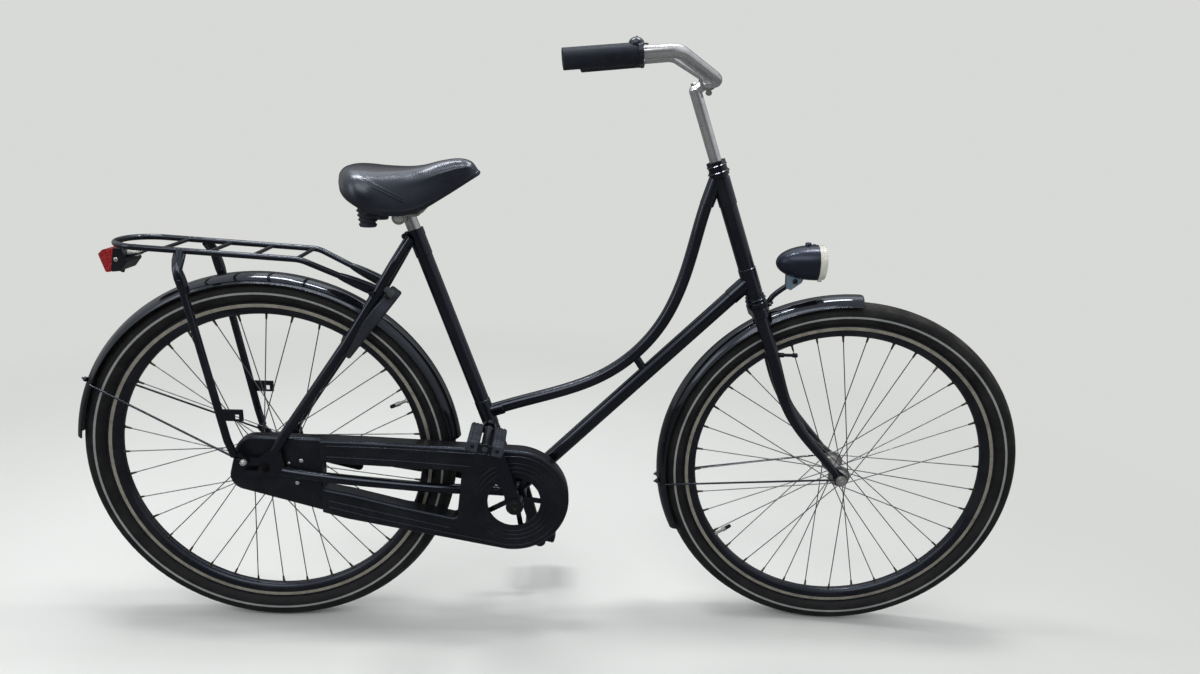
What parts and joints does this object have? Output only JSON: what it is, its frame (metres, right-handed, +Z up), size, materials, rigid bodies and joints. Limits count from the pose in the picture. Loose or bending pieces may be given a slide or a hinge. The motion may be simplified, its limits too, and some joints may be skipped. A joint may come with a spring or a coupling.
{
  "type": "city bicycle",
  "caption": "City bicycle with a low curved frame, full mudguards, chain case, rear rack, ring lock, lamps and swept-back handlebar.",
  "frame": {"origin": "Rider's seat point, on top of the saddle in the middle plane.", "axes": "+X forward, +Y to the rider's left, +Z up."},
  "size_m": [1.8596, 0.4005, 1.1689],
  "materials": {
    "black_enamel": "glossy",
    "chrome": "polished",
    "bright_steel": "satin",
    "spoke_steel": "satin",
    "tyre_rubber": "matt",
    "rim_black": "satin",
    "rubber": "matt",
    "saddle_leatherette": "glossy",
    "black_plastic": "satin",
    "grey_plastic": "satin",
    "red_lens": "glossy",
    "clear_lens": "clear"
  },
  "bodies": {
    "frame": {"bottom_bracket_shell": "black_enamel", "brake_arm": "black_enamel", "chain_case": "black_plastic", "chain_case_rear": "black_plastic", "chain_stays": "black_enamel", "curved_tube": "black_enamel", "down_tube": "black_enamel", "head_tube": "black_enamel", "rack_deck": "black_enamel", "rack_legs": "black_enamel", "rear_axle": "bright_steel", "rear_mudguard": "black_enamel", "rear_mudguard_stays": "black_enamel", "ring_lock": "grey_plastic", "saddle_base": "black_enamel", "saddle_bumpers": "rubber", "saddle_clamp": "bright_steel", "saddle_cover": "saddle_leatherette", "seat_post": "chrome", "seat_stays": "black_enamel", "seat_tube": "black_enamel", "tail_light": "black_plastic", "tail_light_lens": "red_lens"},
    "steering": {"headset_nuts": "black_enamel", "fork_crown": "black_enamel", "fork_blades": "black_enamel", "front_axle": "bright_steel", "front_mudguard": "black_enamel", "front_mudguard_stays": "black_enamel", "stem": "chrome", "handlebar": "chrome", "grips": "rubber", "bell": "black_plastic", "headlight_shell": "grey_plastic", "headlight_lens": "clear_lens", "headlight_bracket": "black_enamel"},
    "front_wheel": {"front_tyre": "tyre_rubber", "front_rim": "rim_black", "front_hub": "bright_steel", "front_spokes": "spoke_steel"},
    "rear_wheel": {"rear_tyre": "tyre_rubber", "rear_rim": "rim_black", "rear_hub": "bright_steel", "rear_spokes": "spoke_steel", "rear_sprocket": "bright_steel"},
    "crankset": {"crank_spindle": "bright_steel", "chainwheel": "black_enamel", "crank_right": "black_enamel", "crank_left": "black_enamel"},
    "right_pedal": {"pedal_right": "rubber"},
    "left_pedal": {"pedal_left": "rubber"}
  },
  "joints": [
    {"name": "steering", "type": "hinge", "parent": "frame", "child": "steering", "pos_m": [0.65726, 0, -0.09656], "axis": [-0.3665, 0, 0.9304], "range_deg": [-83.3, 96.7]},
    {"name": "front_wheel_spin", "type": "hinge", "parent": "steering", "child": "front_wheel", "pos_m": [0.91062, -0.007, -0.57715], "axis": [0.1086, 0.9932, 0.0428], "continuous": true},
    {"name": "rear_wheel_spin", "type": "hinge", "parent": "frame", "child": "rear_wheel", "pos_m": [-0.225, 0, -0.577], "axis": [0, 1, 0], "continuous": true},
    {"name": "crank_spin", "type": "hinge", "parent": "frame", "child": "crankset", "pos_m": [0.254, 0, -0.639], "axis": [0, 1, 0], "continuous": true},
    {"name": "right_pedal_spin", "type": "hinge", "parent": "crankset", "child": "right_pedal", "pos_m": [0.20288, -0.14, -0.47687], "axis": [0, 1, 0], "continuous": true},
    {"name": "left_pedal_spin", "type": "hinge", "parent": "crankset", "child": "left_pedal", "pos_m": [0.30512, 0.14, -0.80113], "axis": [0, 1, 0], "continuous": true}
  ]
}
